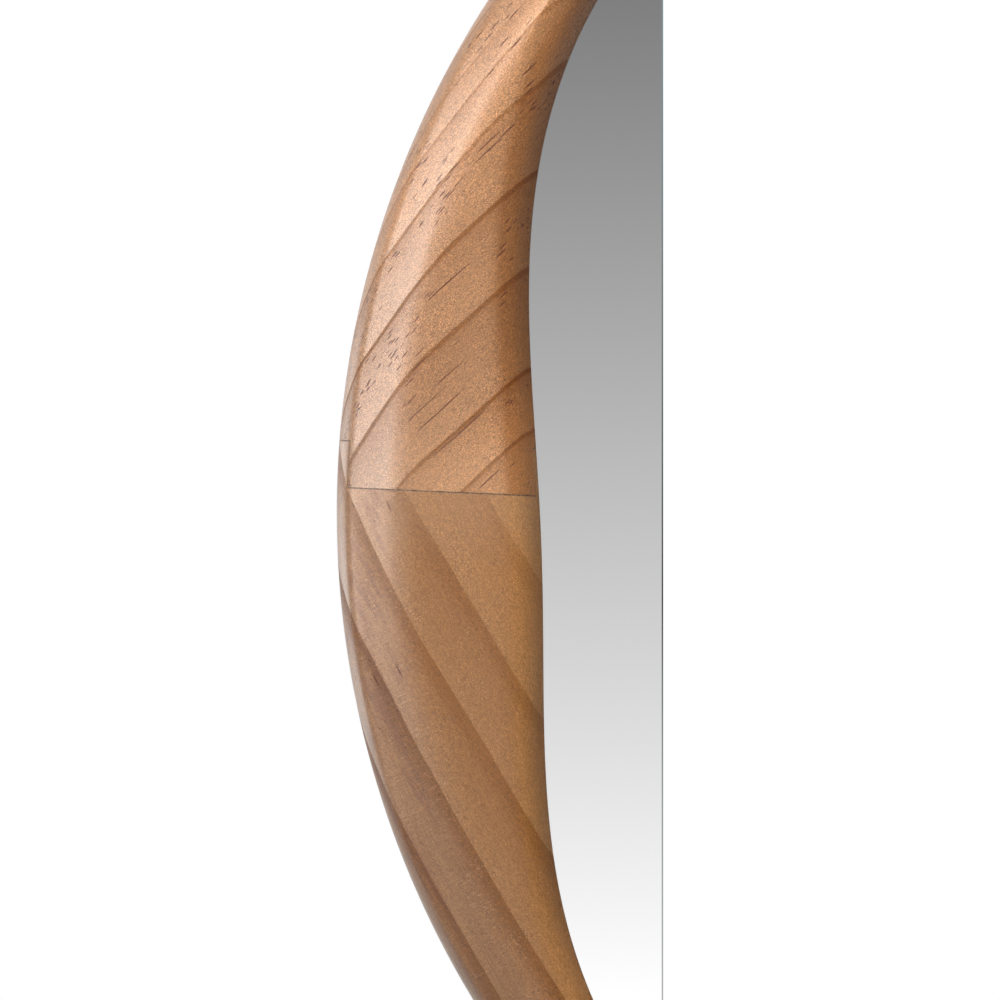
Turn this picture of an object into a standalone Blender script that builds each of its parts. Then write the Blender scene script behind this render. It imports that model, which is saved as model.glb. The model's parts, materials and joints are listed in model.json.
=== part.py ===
"""Wooden hand mirror, standing upright on the hand that holds it.

+X is to the right, +Z is up, and the glass faces -Y. The origin is the middle of the grip, where
the hand closes round the handle. The round rim is made of four quarter pieces with machined
finger joints. It is a true circle outside, and its width swells and slims four times round, so
the opening is a soft square. Angles round the rim start at the top and grow towards +X.
"""
import bmesh
import bpy
import numpy as np
from math import cos, pi, radians, sin
from mathutils import Matrix, Vector

# ---------------------------------------------------------------- driving dimensions, in metres
RIM_RADIUS = 0.1130          # outside of the round rim
RIM_WIDE = 0.0245            # width of the rim at a swell, where two quarters are joined
RIM_SLIM = 0.0101            # width of the rim half way between two joints
SIDE_SWELL_DROP = 2.25       # degrees by which the two side swells sit below the middle

OUTER_ROUND = 0.0072         # broad rounding of the front outer edge: width and depth
OUTER_ROUND_DEPTH = 0.0075
INNER_ROUND = 0.0048         # rounding of the front inner edge: width and depth
INNER_ROUND_DEPTH = 0.0050
BACK_ROUND = 0.0034          # rounding of the back outer edge
OUTER_SHARE, INNER_SHARE, BACK_SHARE = 0.49, 0.47, 0.40     # most of the width each may take
OUTER_DEPTH_SHARE, INNER_DEPTH_SHARE = 0.55, 0.90    # most of the thickness, and of the lip

LIP_DEPTH = 0.0056           # wood in front of the glass
GLASS_THICK = 0.0030
PAD_THICK = 0.0015
BOARD_THICK = 0.0047
REBATE_WIDTH = 0.0035        # ledge that the glass rests on
CLEAR = 0.0003               # gap between pieces that touch
GLUE_LINE = 0.0002           # gap at the glued faces of the rim

FINGERS = 5                  # layers in a finger joint
FINGER_LENGTH = 0.0056
SIDE_JOINT_RISE = 1.5        # degrees by which the side joints sit above the middle
SIDE_JOINT_SKEW = 1.0        # degrees by which the side joints lean off the radius

HANDLE_LENGTH = 0.1220       # from the rim to the end of the handle
NECK_WIDTH = 0.0230
PALM_WIDTH = 0.0315
FLARE_WIDTH = 0.0150         # extra width where the neck opens out to meet the rim
FLARE_LENGTH = 0.0110
NECK_THICK = 0.0142
PALM_THICK = 0.0185
PALM_PLACE = 0.62            # share of the handle's length at which the palm is fullest
END_ROUND = 0.0150           # length of the rounded end
END_FLAT = 0.12              # share of the full width left at the very end
SQUARENESS = 0.78            # 1 gives an oval handle, less gives a squarer one
COPE_RISE = RIM_WIDE * 0.4   # how far the handle runs up before it is coped to the rim
SLICE_SPREAD = 0.9           # below 1 puts the handle's slices closer together at the end

DOWEL_RADIUS = 0.0030
DOWEL_MARGIN = 0.0007        # wood between the fingers of the bottom joint and a dowel
DOWEL_IN_RIM = 0.0130
DOWEL_IN_HANDLE = 0.0170
DOWEL_CHAMFER = 0.0006

BUTTON_ANGLES = (27, 81, 153, -153, -81, -27)    # degrees round the rim
BUTTON_REACH = 0.0150        # from the screw to the tip that holds the board
BUTTON_TAIL = 0.0042
BUTTON_WIDTH = 0.0074
BUTTON_THICK = 0.0012
BUTTON_SET_BACK = 0.0046     # from the edge of the rebate to the screw
SCREW_RADIUS = 0.0013
SCREW_LENGTH = 0.0090
SCREW_HEAD_RADIUS = 0.0028
SCREW_HEAD_HEIGHT = 0.0017
SCREW_SLOT_WIDTH = 0.0007
SCREW_SLOT_DEPTH = 0.0008
SCREW_TIP_LENGTH = 0.0020
SCREW_TIP_SHARE = 0.3        # tip radius as a share of the shank's
SCREW_DOME = ((0.94, 0.50), (0.70, 0.85), (0.25, 1.00))    # shares of the head's radius and height

BUMPER_ANGLES = (66, 114, -114, -66)
BUMPER_RADIUS = 0.0045
BUMPER_HEIGHT = 0.0042
BUMPER_SHOULDER = 0.7        # share of the height where the side starts to draw in
BUMPER_FACE = 0.8            # share of the radius left at the top
BUMPER_SET_BACK = 0.0070     # from the edge of the rebate to the middle of the bumper

RIM_STEPS = 128              # facets round the rim
OUTER_FACETS, INNER_FACETS, BACK_FACETS = 6, 5, 4    # facets of the rim's three roundings
PANE_STEPS = 96              # facets round the glass, pad and board
ROUND_STEPS = 20             # facets round small turned pieces
SCREW_STEPS = 12             # facets round a screw and its hole
BUTTON_END_STEPS = 7         # facets round each end of a turn button
BUMPER_STEPS = 24
HANDLE_STEPS = 28            # facets round the handle
HANDLE_SLICES = 26           # slices along the handle

# ---------------------------------------------------------------- derived sizes
RIM_THICK = LIP_DEPTH + GLASS_THICK + PAD_THICK + BOARD_THICK + 4 * CLEAR
FRONT_Y = -RIM_THICK / 2
BACK_Y = RIM_THICK / 2
LAYER = RIM_THICK / FINGERS
RIM_Z = HANDLE_LENGTH / 2 + RIM_RADIUS           # height of the rim's centre above the grip
HANDLE_TOP = HANDLE_LENGTH / 2                   # where the handle meets the rim
DOWEL_X = FINGER_LENGTH / 2 + DOWEL_MARGIN + DOWEL_RADIUS    # each dowel's distance off the middle


# ---------------------------------------------------------------- the shape of the rim
def swell(angle):
    """1 at a joint and 0 half way between two joints; the side swells drop by a small angle."""
    drop = radians(SIDE_SWELL_DROP) * sin(angle) ** 2 * (1 if sin(angle) > 0 else -1)
    return (1 + cos(4 * (angle - drop))) / 2


def rim_width(angle):
    return RIM_SLIM + (RIM_WIDE - RIM_SLIM) * swell(angle)


def around(angle, radius, y):
    """A point at this angle and radius round the rim's centre."""
    return (radius * sin(angle), y, RIM_Z + radius * cos(angle))


def quarter_turn(facets):
    """Angles from 0 to 90 degrees, one more than there are facets."""
    return [pi / 2 * i / facets for i in range(facets + 1)]


def rim_section(angle, grow=0.0, with_rebate=True):
    """The rim's outline at one angle, as (distance in from the outside, depth from the front)."""
    width = rim_width(angle)
    outer = min(OUTER_ROUND, OUTER_SHARE * width)
    inner = min(INNER_ROUND, INNER_SHARE * width)
    back = min(BACK_ROUND, BACK_SHARE * width)
    outer_depth = min(OUTER_ROUND_DEPTH, OUTER_DEPTH_SHARE * RIM_THICK)
    inner_depth = min(INNER_ROUND_DEPTH, INNER_DEPTH_SHARE * LIP_DEPTH)
    points = [(outer - (outer + grow) * cos(turn), outer_depth - (outer_depth + grow) * sin(turn))
              for turn in quarter_turn(OUTER_FACETS)]
    points += [(width - inner + (inner + grow) * sin(turn), inner_depth - (inner_depth + grow) * cos(turn))
               for turn in quarter_turn(INNER_FACETS)]
    if with_rebate:
        points += [(width, LIP_DEPTH), (width - REBATE_WIDTH, LIP_DEPTH), (width - REBATE_WIDTH, RIM_THICK)]
    else:
        points += [(width + grow, RIM_THICK + grow)]
    points += [(back - (back + grow) * sin(turn), RIM_THICK - back + (back + grow) * cos(turn))
               for turn in quarter_turn(BACK_FACETS)]
    return points


# ---------------------------------------------------------------- mesh helpers
def new_object(name, vertices, faces, smooth_angle=None):
    mesh = bpy.data.meshes.new(name)
    mesh.from_pydata([tuple(v) for v in vertices], [], faces)
    solid = bmesh.new()
    solid.from_mesh(mesh)
    bmesh.ops.recalc_face_normals(solid, faces=solid.faces)
    solid.to_mesh(mesh)
    solid.free()
    if smooth_angle:
        mesh.shade_smooth()
        mesh.set_sharp_from_angle(angle=radians(smooth_angle))
    piece = bpy.data.objects.new(name, mesh)
    bpy.context.scene.collection.objects.link(piece)
    return piece


def loft(name, rings, closed, smooth_angle=None):
    """Join rings of points with quads. An open loft gets a face at each end."""
    size = len(rings[0])
    count = len(rings)
    vertices = [point for ring in rings for point in ring]
    faces = []
    for i in range(count if closed else count - 1):
        a, b = i * size, ((i + 1) % count) * size
        for j in range(size):
            k = (j + 1) % size
            faces.append((a + j, a + k, b + k, b + j))
    if not closed:
        faces.append(tuple(reversed(range(size))))
        faces.append(tuple((count - 1) * size + j for j in range(size)))
    return new_object(name, vertices, faces, smooth_angle)


def turned(name, profile, steps=ROUND_STEPS, smooth_angle=40):
    """A solid turned about +Y from (radius, y) pairs that run towards +Y."""
    rings = [[(r * cos(2 * pi * i / steps), y, -r * sin(2 * pi * i / steps)) for i in range(steps)]
             for r, y in profile]
    return loft(name, rings, False, smooth_angle)


def block(name, corners_low, corners_high):
    """Eight corners: four at the low end and four at the high end, in the same order."""
    return new_object(name, list(corners_low) + list(corners_high),
                      [(0, 3, 2, 1), (4, 5, 6, 7), (0, 1, 5, 4), (1, 2, 6, 5), (2, 3, 7, 6), (3, 0, 4, 7)])


def merge_blocks(name, blocks):
    """One cutter object that holds several separate blocks."""
    vertices, faces = [], []
    for piece in blocks:
        start = len(vertices)
        vertices += [tuple(v.co) for v in piece.data.vertices]
        faces += [tuple(start + i for i in face.vertices) for face in piece.data.polygons]
        bpy.data.objects.remove(piece, do_unlink=True)
    return new_object(name, vertices, faces)


def as_cutter(piece):
    piece.hide_render = True
    piece.display_type = 'WIRE'
    return piece


def cut(piece, cutter, operation='DIFFERENCE'):
    modifier = piece.modifiers.new(operation.lower(), 'BOOLEAN')
    modifier.operation = operation
    modifier.solver = 'EXACT'
    modifier.object = as_cutter(cutter)
    return piece


def finish(piece, material):
    piece.data.materials.clear()
    piece.data.materials.append(material)
    return piece


def material(name, colour, roughness, metallic=0.0):
    made = bpy.data.materials.new(name)
    made.use_nodes = True
    shader = made.node_tree.nodes['Principled BSDF']
    shader.inputs['Base Color'].default_value = (*colour, 1.0)
    shader.inputs['Roughness'].default_value = roughness
    shader.inputs['Metallic'].default_value = metallic
    return made


# ---------------------------------------------------------------- the rim's joints
def joint_line(angle, skew):
    """The point where a joint meets the outside, its inward direction, and the way round."""
    corner = Vector(around(angle, RIM_RADIUS, 0))
    inward = Vector((-sin(angle + skew), 0, -cos(angle + skew)))
    forward = Vector((-inward.z, 0, inward.x))
    return corner, inward, forward


def joint_places():
    """The four joints in order round the rim: top, right, bottom, left, then the top again."""
    rise, skew = radians(SIDE_JOINT_RISE), radians(SIDE_JOINT_SKEW)
    half_finger = FINGER_LENGTH / 2 / RIM_RADIUS
    finger = FINGER_LENGTH / RIM_RADIUS
    return [(-half_finger, 0.0), (pi / 2 - rise - finger, -skew), (pi - half_finger, 0.0),
            (3 * pi / 2 + rise, skew), (2 * pi - half_finger, 0.0)]


def slot_blocks(name, place, odd_layers):
    """Blocks that clear the layers where the other quarter's fingers go, at one joint."""
    corner, inward, forward = joint_line(*place)
    gap = GLUE_LINE / 2
    blocks = []
    for layer in range(FINGERS):
        if (layer % 2 == 1) != odd_layers:
            continue
        low = FRONT_Y + layer * LAYER - gap - (LAYER if layer == 0 else 0)
        high = FRONT_Y + (layer + 1) * LAYER + gap + (LAYER if layer == FINGERS - 1 else 0)
        start, end = (-LAYER, FINGER_LENGTH + gap) if odd_layers else (-gap, FINGER_LENGTH + LAYER)
        outside, inside = corner - inward * RIM_SLIM, corner + inward * RIM_WIDE * 2
        ring = [outside + forward * start, inside + forward * start,
                inside + forward * end, outside + forward * end]
        blocks.append(block(name, [Vector((p.x, low, p.z)) for p in ring],
                            [Vector((p.x, high, p.z)) for p in ring]))
    return merge_blocks(name, blocks)


def wedge(name, first, last):
    """The quarter between two joints: it starts at the first joint's near face and reaches the
    far face of the last joint's fingers."""
    gap = GLUE_LINE / 2
    corner_a, inward_a, forward_a = joint_line(*first)
    corner_b, inward_b, forward_b = joint_line(*last)
    start, end = forward_a * gap, forward_b * (FINGER_LENGTH - gap)
    middle = (first[0] + last[0]) / 2
    ring = [corner_a + inward_a * RIM_WIDE * 2 + start, corner_a - inward_a * RIM_WIDE + start,
            Vector(around(middle, RIM_RADIUS * 2, 0)),
            corner_b - inward_b * RIM_WIDE + end, corner_b + inward_b * RIM_WIDE * 2 + end]
    rings = [[Vector((p.x, y, p.z)) for p in ring] for y in (BACK_Y + LAYER, FRONT_Y - LAYER)]
    return loft(name, rings, False)


# ---------------------------------------------------------------- the pieces
def rim_ring(name, grow=0.0, with_rebate=True):
    rings = []
    for i in range(RIM_STEPS):
        angle = 2 * pi * (i + 0.5) / RIM_STEPS
        rings.append([around(angle, RIM_RADIUS - inset, FRONT_Y + depth)
                      for inset, depth in rim_section(angle, grow, with_rebate)])
    return loft(name, rings, True, 35)


def dowel_cutter(name, x):
    """The hole for one dowel, in the rim and in the handle."""
    profile = [(DOWEL_RADIUS + CLEAR, -DOWEL_IN_HANDLE - CLEAR), (DOWEL_RADIUS + CLEAR, DOWEL_IN_RIM + CLEAR)]
    hole = turned(name, profile)
    place_upright(hole, x)
    return hole


def place_upright(piece, x):
    piece.data.transform(Matrix.Translation((x, 0, HANDLE_TOP)) @ Matrix.Rotation(pi / 2, 4, 'X'))


def button_frame(angle):
    """Where a turn button's screw stands, on the back of the rim."""
    radius = RIM_RADIUS - rim_width(angle) + REBATE_WIDTH + BUTTON_SET_BACK
    return Matrix.Translation(around(angle, radius, BACK_Y)) @ Matrix.Rotation(angle, 4, 'Y')


def screw_hole_cutter(name, angle):
    hole = turned(name, [(SCREW_RADIUS + CLEAR, -SCREW_LENGTH - CLEAR), (SCREW_RADIUS + CLEAR, LAYER)],
                  SCREW_STEPS)
    hole.data.transform(button_frame(angle))
    return hole


def make_rim(wood):
    places = joint_places()
    names = ('rim_upper_right', 'rim_lower_right', 'rim_lower_left', 'rim_upper_left')
    for index, name in enumerate(names):
        first, last = places[index], places[index + 1]
        piece = rim_ring(name)
        cut(piece, wedge(name + '_wedge', first, last), 'INTERSECT')
        cut(piece, slot_blocks(name + '_start_slots', first, True))
        cut(piece, slot_blocks(name + '_end_slots', last, False))
        for number, degrees in enumerate(BUTTON_ANGLES):
            if first[0] < radians(degrees % 360) < last[0]:
                cut(piece, screw_hole_cutter(f'{name}_screw_hole_{number}', radians(degrees)))
        if name in ('rim_lower_right', 'rim_lower_left'):
            side = 1 if name == 'rim_lower_right' else -1
            cut(piece, dowel_cutter(name + '_dowel_hole', side * DOWEL_X))
        finish(piece, wood)


def handle_half_width(drop):
    """Half the handle's width at a distance below the rim: a flare, a neck and a full palm."""
    palm = (PALM_WIDTH - NECK_WIDTH) / 2 * sin(pi / 2 * min(drop / (HANDLE_LENGTH * PALM_PLACE), 1)) ** 2
    return NECK_WIDTH / 2 + palm + FLARE_WIDTH / 2 * np.exp(-(max(drop, 0) / FLARE_LENGTH) ** 1.5)


def handle_half_thick(drop):
    fill = sin(pi / 2 * min(max(drop, 0) / (HANDLE_LENGTH * PALM_PLACE), 1)) ** 2
    return (NECK_THICK + (PALM_THICK - NECK_THICK) * fill) / 2


def make_handle(wood):
    """Rounded-oblong slices down the handle; the top is coped to the outside of the rim."""
    rings = []
    for i in range(HANDLE_SLICES):
        share = i / (HANDLE_SLICES - 1)
        drop = -COPE_RISE + (HANDLE_LENGTH + COPE_RISE) * sin(pi / 2 * share) ** SLICE_SPREAD
        left = max(HANDLE_LENGTH - drop, 0)
        close = (max(1 - max(1 - left / END_ROUND, 0) ** 2, 0.0) ** 0.5) if left < END_ROUND else 1.0
        close = max(close, END_FLAT)
        half_width, half_thick = handle_half_width(drop) * close, handle_half_thick(drop) * close
        ring = []
        for j in range(HANDLE_STEPS):
            turn = 2 * pi * j / HANDLE_STEPS
            c, s = cos(turn), sin(turn)
            x, y = np.sign(c) * abs(c) ** SQUARENESS, np.sign(s) * abs(s) ** SQUARENESS
            ring.append((half_width * x, half_thick * y, HANDLE_TOP - drop))
        rings.append(ring[::-1])
    handle = loft('handle', rings, False, 50)
    cut(handle, rim_ring('handle_cope', GLUE_LINE, False))
    for side in (-1, 1):
        cut(handle, dowel_cutter(f'handle_dowel_hole_{side}', side * DOWEL_X))
    return finish(handle, wood)


def make_dowels(wood):
    end = DOWEL_RADIUS - DOWEL_CHAMFER
    profile = [(end, -DOWEL_IN_HANDLE), (DOWEL_RADIUS, -DOWEL_IN_HANDLE + DOWEL_CHAMFER),
               (DOWEL_RADIUS, DOWEL_IN_RIM - DOWEL_CHAMFER), (end, DOWEL_IN_RIM)]
    for side, name in ((-1, 'dowel_left'), (1, 'dowel_right')):
        dowel = finish(turned(name, profile), wood)
        place_upright(dowel, side * DOWEL_X)


def make_pane(name, depth, thick, surface):
    """A flat sheet that fills the rebate, at a depth behind the front of the rim."""
    rings = []
    for y in (FRONT_Y + depth, FRONT_Y + depth + thick):
        ring = []
        for i in range(PANE_STEPS):
            angle = 2 * pi * i / PANE_STEPS
            ring.append(around(angle, RIM_RADIUS - rim_width(angle) + REBATE_WIDTH - 2 * CLEAR, y))
        rings.append(ring)
    return finish(loft(name, rings, False, 35), surface)


def make_buttons(steel, screw_steel):
    """A flat steel turn button on a round-head screw, at each place round the back."""
    half = BUTTON_WIDTH / 2
    turns = [pi * i / BUTTON_END_STEPS for i in range(BUTTON_END_STEPS + 1)]
    outline = [(-half * cos(turn), BUTTON_TAIL - half + half * sin(turn)) for turn in turns]
    outline += [(half * cos(turn), half - BUTTON_REACH - half * sin(turn)) for turn in turns]
    low, high = CLEAR, CLEAR + BUTTON_THICK
    under_head = high + CLEAR
    profile = [(SCREW_RADIUS * SCREW_TIP_SHARE, -SCREW_LENGTH),
               (SCREW_RADIUS, -SCREW_LENGTH + SCREW_TIP_LENGTH),
               (SCREW_RADIUS, under_head), (SCREW_HEAD_RADIUS, under_head)]
    profile += [(SCREW_HEAD_RADIUS * wide, under_head + SCREW_HEAD_HEIGHT * high_up)
                for wide, high_up in SCREW_DOME]
    slot_plan = [(end * SCREW_HEAD_RADIUS * 2, side * SCREW_SLOT_WIDTH / 2)
                 for end, side in ((-1, -1), (1, -1), (1, 1), (-1, 1))]
    slot_floor = under_head + SCREW_HEAD_HEIGHT - SCREW_SLOT_DEPTH
    slot_top = under_head + SCREW_HEAD_HEIGHT * 2
    for number, degrees in enumerate(BUTTON_ANGLES, 1):
        pivot = button_frame(radians(degrees))
        faces = [[(x, y, z) for x, z in outline] for y in (low, high)]
        plate = loft(f'turn_button_{number}', faces, False, 35)
        hole = turned(f'turn_button_hole_{number}', [(SCREW_RADIUS + CLEAR, low - CLEAR),
                                                     (SCREW_RADIUS + CLEAR, high + CLEAR)], SCREW_STEPS)
        screw = turned(f'screw_{number}', profile, SCREW_STEPS)
        slot = block(f'screw_slot_{number}', [Vector((x, slot_floor, z)) for x, z in slot_plan],
                     [Vector((x, slot_top, z)) for x, z in slot_plan])
        for piece in (plate, hole, screw, slot):
            piece.matrix_world = pivot
        finish(cut(plate, hole), steel)
        finish(cut(screw, slot), screw_steel)


def make_bumpers(rubber):
    """Stick-on rubber feet, so that the mirror can lie on its back."""
    profile = [(BUMPER_RADIUS, CLEAR), (BUMPER_RADIUS, BUMPER_HEIGHT * BUMPER_SHOULDER),
               (BUMPER_RADIUS * BUMPER_FACE, BUMPER_HEIGHT)]
    for number, degrees in enumerate(BUMPER_ANGLES, 1):
        angle = radians(degrees)
        radius = RIM_RADIUS - rim_width(angle) + REBATE_WIDTH + BUMPER_SET_BACK
        bumper = finish(turned(f'bumper_{number}', profile, BUMPER_STEPS), rubber)
        bumper.location = around(angle, radius, BACK_Y)


def clear_scene():
    for item in list(bpy.data.objects):
        bpy.data.objects.remove(item, do_unlink=True)


def main():
    clear_scene()
    pine = material('stained pine', (0.44, 0.235, 0.12), 0.42)
    beech = material('beech', (0.62, 0.42, 0.25), 0.6)
    silvered = material('silvered glass', (0.93, 0.94, 0.94), 0.02, 1.0)
    foam = material('foam sheet', (0.85, 0.85, 0.83), 0.9)
    plywood = material('birch plywood', (0.66, 0.50, 0.33), 0.6)
    plated = material('brass plate', (0.72, 0.53, 0.26), 0.35, 1.0)
    zinc = material('zinc screw', (0.62, 0.63, 0.65), 0.35, 1.0)
    rubber = material('bumper rubber', (0.08, 0.08, 0.085), 0.7)
    make_rim(pine)
    make_handle(pine)
    make_dowels(beech)
    depth = LIP_DEPTH + CLEAR
    make_pane('mirror_glass', depth, GLASS_THICK, silvered)
    depth += GLASS_THICK + CLEAR
    make_pane('foam_pad', depth, PAD_THICK, foam)
    depth += PAD_THICK + CLEAR
    make_pane('back_board', depth, BOARD_THICK, plywood)
    make_buttons(plated, zinc)
    make_bumpers(rubber)


main()
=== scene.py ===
# %% [markdown]
# # A wooden hand mirror
# A round wooden rim holds a sheet of silvered glass, on a wooden handle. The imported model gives
# every piece its place and motion, and this notebook gives it a surface, a grid of points worked
# out with numpy, and a finish, a small set of nodes.

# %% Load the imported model
import json
from math import acos, atan2, cos, pi, radians, sin
import bmesh
import bpy
import numpy as np
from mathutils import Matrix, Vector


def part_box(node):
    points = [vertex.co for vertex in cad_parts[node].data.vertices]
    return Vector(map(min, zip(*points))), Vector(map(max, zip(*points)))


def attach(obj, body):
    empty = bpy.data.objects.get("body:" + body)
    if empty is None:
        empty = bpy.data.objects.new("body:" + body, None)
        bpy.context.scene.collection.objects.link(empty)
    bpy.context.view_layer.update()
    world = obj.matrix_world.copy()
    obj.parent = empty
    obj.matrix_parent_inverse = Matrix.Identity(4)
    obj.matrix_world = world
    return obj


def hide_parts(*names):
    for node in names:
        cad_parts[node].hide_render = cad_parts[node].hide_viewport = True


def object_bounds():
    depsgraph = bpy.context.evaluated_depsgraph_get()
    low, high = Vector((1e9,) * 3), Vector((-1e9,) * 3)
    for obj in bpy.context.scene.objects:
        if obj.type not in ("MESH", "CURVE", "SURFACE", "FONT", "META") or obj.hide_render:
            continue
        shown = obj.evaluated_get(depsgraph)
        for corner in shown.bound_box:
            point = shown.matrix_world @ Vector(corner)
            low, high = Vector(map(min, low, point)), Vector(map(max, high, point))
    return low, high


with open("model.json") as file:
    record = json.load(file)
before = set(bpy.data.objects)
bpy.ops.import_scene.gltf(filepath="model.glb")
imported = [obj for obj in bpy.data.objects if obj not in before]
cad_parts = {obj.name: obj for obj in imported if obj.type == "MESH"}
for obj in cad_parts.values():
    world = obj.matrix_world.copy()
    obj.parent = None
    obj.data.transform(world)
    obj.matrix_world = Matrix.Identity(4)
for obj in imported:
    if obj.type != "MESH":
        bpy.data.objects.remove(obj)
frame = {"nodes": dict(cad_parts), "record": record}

CAD_BOX = [list(corner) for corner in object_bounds()]
print("packed model spans", CAD_BOX)

# %% [markdown]
# ## Sizes
# The rim is a circle outside, so its radius and centre follow from the box of the four quarters.
# Its width swells at the four joints and slims between them. Only the few sizes that shape the
# rounded edges are set here, in metres.

# %% Sizes of the rim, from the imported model
SIDES = ["upper_right", "lower_right", "lower_left", "upper_left"]
boxes = np.array([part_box(f"rim_{side}") for side in SIDES])
rim_low, rim_high = boxes[:, 0].min(axis=0), boxes[:, 1].max(axis=0)
RIM_RADIUS = round((rim_high[0] - rim_low[0]) / 2, 4)
RIM_Z = round((rim_high[2] + rim_low[2]) / 2, 4)
FRONT_Y, BACK_Y = rim_low[1], rim_high[1]
RIM_THICK = BACK_Y - FRONT_Y
RIM_WIDE = 0.0245
RIM_SLIM = 0.0101
SIDE_SWELL_DROP = radians(2.25)
FINGERS = 5
FINGER_LENGTH = 0.0056
LAYER = RIM_THICK / FINGERS
SIDE_JOINT_RISE = radians(1.5)
SIDE_JOINT_SKEW = radians(1.0)
GLUE_LINE = 0.00016
LIP_DEPTH = 0.0056
REBATE_WIDTH = 0.0035
MM = 0.001
print(f"rim radius {RIM_RADIUS / MM:.1f} mm, thickness {RIM_THICK / MM:.1f} mm, centre at z {RIM_Z:.4f}")


def swell(angle):
    """1 at a joint, 0 half way between two: (1 + cos 4a) / 2, with the side swells a little low."""
    drop = SIDE_SWELL_DROP * np.sin(angle) * np.abs(np.sin(angle))
    return (1 + np.cos(4 * (angle - drop))) / 2


def rim_width(angle):
    """Width of the rim in metres: slim width plus the swell's share of the difference."""
    return RIM_SLIM + (RIM_WIDE - RIM_SLIM) * swell(angle)


# %% [markdown]
# ## From grids to meshes
# A surface is an array of points in rows and columns. Neighbouring points make a four-sided face,
# so the faces are index arithmetic on the array. Rows or columns can close on themselves, and
# open rows can get a cap at each end.

# %% Grid helper
def round_turn(steps):
    """Angles evenly round a full turn."""
    return np.linspace(0, 2 * pi, steps, endpoint=False)


def mesh_from_grid(name, points, wrap_rows=False, wrap_columns=True, caps=True):
    """Points (rows, columns, 3) to a mesh: face (i, j) joins (i, j), (i, j+1), (i+1, j+1), (i+1, j)."""
    rows, columns = points.shape[:2]
    index = np.arange(rows * columns).reshape(rows, columns)
    down = np.roll(index, -1, axis=0) if wrap_rows else index[1:]
    here = index if wrap_rows else index[:-1]
    right_here, right_down = np.roll(here, -1, axis=1), np.roll(down, -1, axis=1)
    quads = np.stack([here, right_here, right_down, down], axis=-1)
    if not wrap_columns:
        quads = quads[:, :-1]
    faces = quads.reshape(-1, 4).tolist()
    if caps and not wrap_rows:
        faces += [index[0][::-1].tolist(), index[-1].tolist()]
    mesh = bpy.data.meshes.new(name)
    mesh.from_pydata(points.reshape(-1, 3).tolist(), [], faces)
    point_outwards(mesh)
    return mesh


def point_outwards(mesh):
    """Turn every face of a closed mesh to point out of it."""
    work = bmesh.new()
    work.from_mesh(mesh)
    bmesh.ops.recalc_face_normals(work, faces=work.faces)
    work.to_mesh(mesh)
    work.free()


def link_object(name, data):
    """A new object in the scene, for a mesh, a camera or a lamp."""
    made = bpy.data.objects.new(name, data)
    bpy.context.scene.collection.objects.link(made)
    return made


def shade(mesh, smooth):
    """Shade smooth, except where faces meet at more than `smooth` degrees."""
    mesh.shade_smooth()
    mesh.set_sharp_from_angle(angle=radians(smooth))


def add_piece(name, mesh, smooth=30):
    """Link an object for this mesh, and shade it."""
    shade(mesh, smooth)
    return link_object(name, mesh)


def cut_with(piece, cutters, smooth=30):
    """Take the cutters away from the piece, keep the result as plain mesh, and drop the cutters."""
    for cutter in cutters:
        modifier = piece.modifiers.new("cut", 'BOOLEAN')
        modifier.operation = 'DIFFERENCE'
        modifier.object = cutter
    finished = bpy.data.meshes.new_from_object(
        piece.evaluated_get(bpy.context.evaluated_depsgraph_get()))
    piece.modifiers.clear()
    piece.data = finished
    shade(finished, smooth)
    for cutter in cutters:
        bpy.data.objects.remove(cutter, do_unlink=True)
    return piece


# %% [markdown]
# ## The rim's section
# A hand has shaped this rim: the outside is a narrow upright strip, then a broad sanded facet,
# then the flat front, and the inside edge is softly rounded. So the section is a list of corners,
# and every corner is eased by a curve that starts and ends a set distance away from it.

# %% Eased outline
LONGEST_EASE = 0.48          # share of a side that one corner's curve may take up


def eased_corner(start, corner, end, t):
    """A curve that leaves and arrives straight: (1-t)^2 start + 2t(1-t) corner + t^2 end."""
    return (1 - t) ** 2 * start + 2 * t * (1 - t) * corner + t ** 2 * end


def eased_outline(corners, reach, steps=6):
    """Closed outlines (rows, corners, 2) with each corner replaced by an eased curve.

    The curve's ends lie `reach` along the two sides, as far as the sides are long enough."""
    before, after = np.roll(corners, 1, axis=1) - corners, np.roll(corners, -1, axis=1) - corners
    length_before = np.linalg.norm(before, axis=2, keepdims=True)
    length_after = np.linalg.norm(after, axis=2, keepdims=True)
    start = corners + before / length_before * np.minimum(reach[..., None], LONGEST_EASE * length_before)
    end = corners + after / length_after * np.minimum(reach[..., None], LONGEST_EASE * length_after)
    t = np.linspace(0, 1, steps)[None, None, :, None]
    curve = eased_corner(start[:, :, None], corners[:, :, None], end[:, :, None], t)
    return curve.reshape(len(corners), -1, 2)


def hand_waver(angle, size, seed):
    """A slow waver, the sum of three sines of the angle, as a sanding block leaves."""
    return size * (np.sin(9 * angle + seed) + 0.6 * np.sin(23 * angle + 2.3 * seed)
                   + 0.4 * np.sin(51 * angle + 4.1 * seed)) / 2


STRIP_WIDTH = 0.00135        # the narrow upright strip outside
STRIP_DEPTH = 0.00305
FACET_WIDE = 0.0079          # where the broad facet meets the flat front, from the outside
FACET_SLIM = 0.0062
INNER_EASE = 0.0044          # width of the rounding at the opening
BACK_ROUND = 0.0034


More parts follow.
